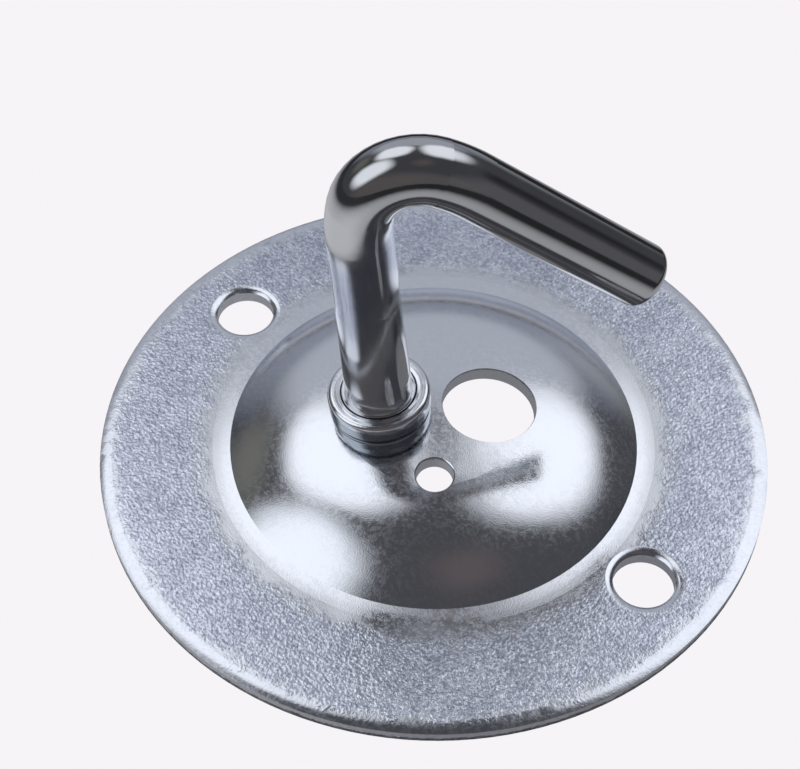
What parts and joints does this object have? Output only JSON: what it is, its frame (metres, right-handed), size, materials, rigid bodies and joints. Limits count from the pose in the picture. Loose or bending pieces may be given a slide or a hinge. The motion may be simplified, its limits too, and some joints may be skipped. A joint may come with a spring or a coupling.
{
  "type": "ceiling hook plate",
  "caption": "Domed round steel hook plate for a ceiling conduit box, with an open bent-bar hook that swivels in a riveted bush.",
  "frame": {"origin": "centre of the flange's flat underside, which is the face that closes the box", "axes": "+Z out of the dome towards the hook, the way the load pulls; +X along the line of the two fixing holes; the hook's arm points at 45 degrees between +X and +Y"},
  "size_m": [0.065, 0.065, 0.0407],
  "materials": {
    "zinc_plate": "grainy electro-zinc on pressed steel, satin",
    "bright_zinc": "smooth bright zinc",
    "bright_bar": "drawn bar, bright zinc, near mirror"
  },
  "bodies": {
    "plate": {"dome_plate": "zinc_plate", "seat_washer": "bright_zinc", "swivel_bush": "bright_zinc"},
    "hook": {"hook": "bright_bar", "thrust_washer": "zinc_plate"}
  },
  "joints": [
    {"name": "hook_swivel", "type": "hinge", "parent": "plate", "child": "hook", "pos_m": [-0.00359, -0.00359, 0.00633], "axis": [-0.0479, -0.0479, 0.9977], "continuous": true}
  ]
}
